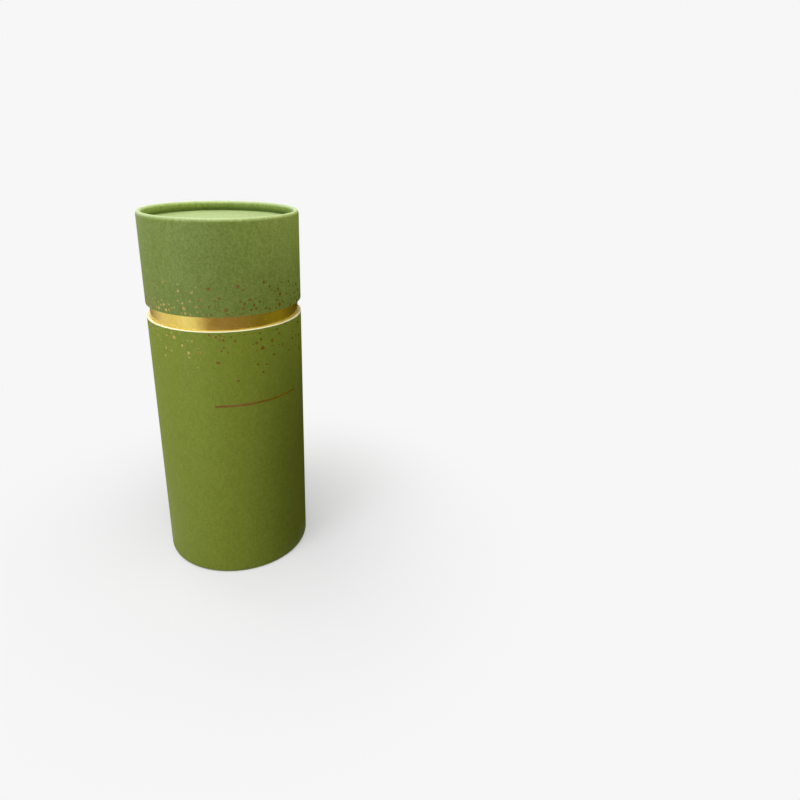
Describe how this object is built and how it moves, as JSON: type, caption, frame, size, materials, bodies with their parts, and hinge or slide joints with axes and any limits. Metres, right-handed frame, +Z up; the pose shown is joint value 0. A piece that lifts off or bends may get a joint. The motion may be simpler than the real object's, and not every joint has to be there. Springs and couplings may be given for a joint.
{
  "type": "cylindrical gift tube box",
  "caption": "Tall round paperboard tube box with a lift-off lid that slides down over a gold foil neck, rolled rims and recessed ends.",
  "frame": {"origin": "centre of the standing ring, on the surface that the tube stands on", "axes": "+Z up along the tube's axis, -Y towards the front"},
  "size_m": [0.083, 0.083, 0.2005],
  "materials": {
    "green_paper": "uncoated matte",
    "cut_board": "raw cut board",
    "gold_foil": "satin metallic foil",
    "white_paper": "smooth lining"
  },
  "bodies": {
    "base": {"base_tube": "cut_board", "base_wrap": "green_paper", "bottom_disc": "cut_board", "bottom_paper": "green_paper", "neck_tube": "cut_board", "neck_foil": "gold_foil", "inner_liner": "white_paper", "inner_floor": "white_paper"},
    "lid": {"lid_tube": "cut_board", "lid_wrap": "green_paper", "lid_disc": "cut_board", "lid_top_paper": "green_paper", "lid_lining": "white_paper", "lid_inner_paper": "white_paper"}
  },
  "joints": [
    {"name": "lid_lift", "type": "slide", "parent": "base", "child": "lid", "axis": [0, 0, 1], "range_m": [0, 0.12]}
  ]
}
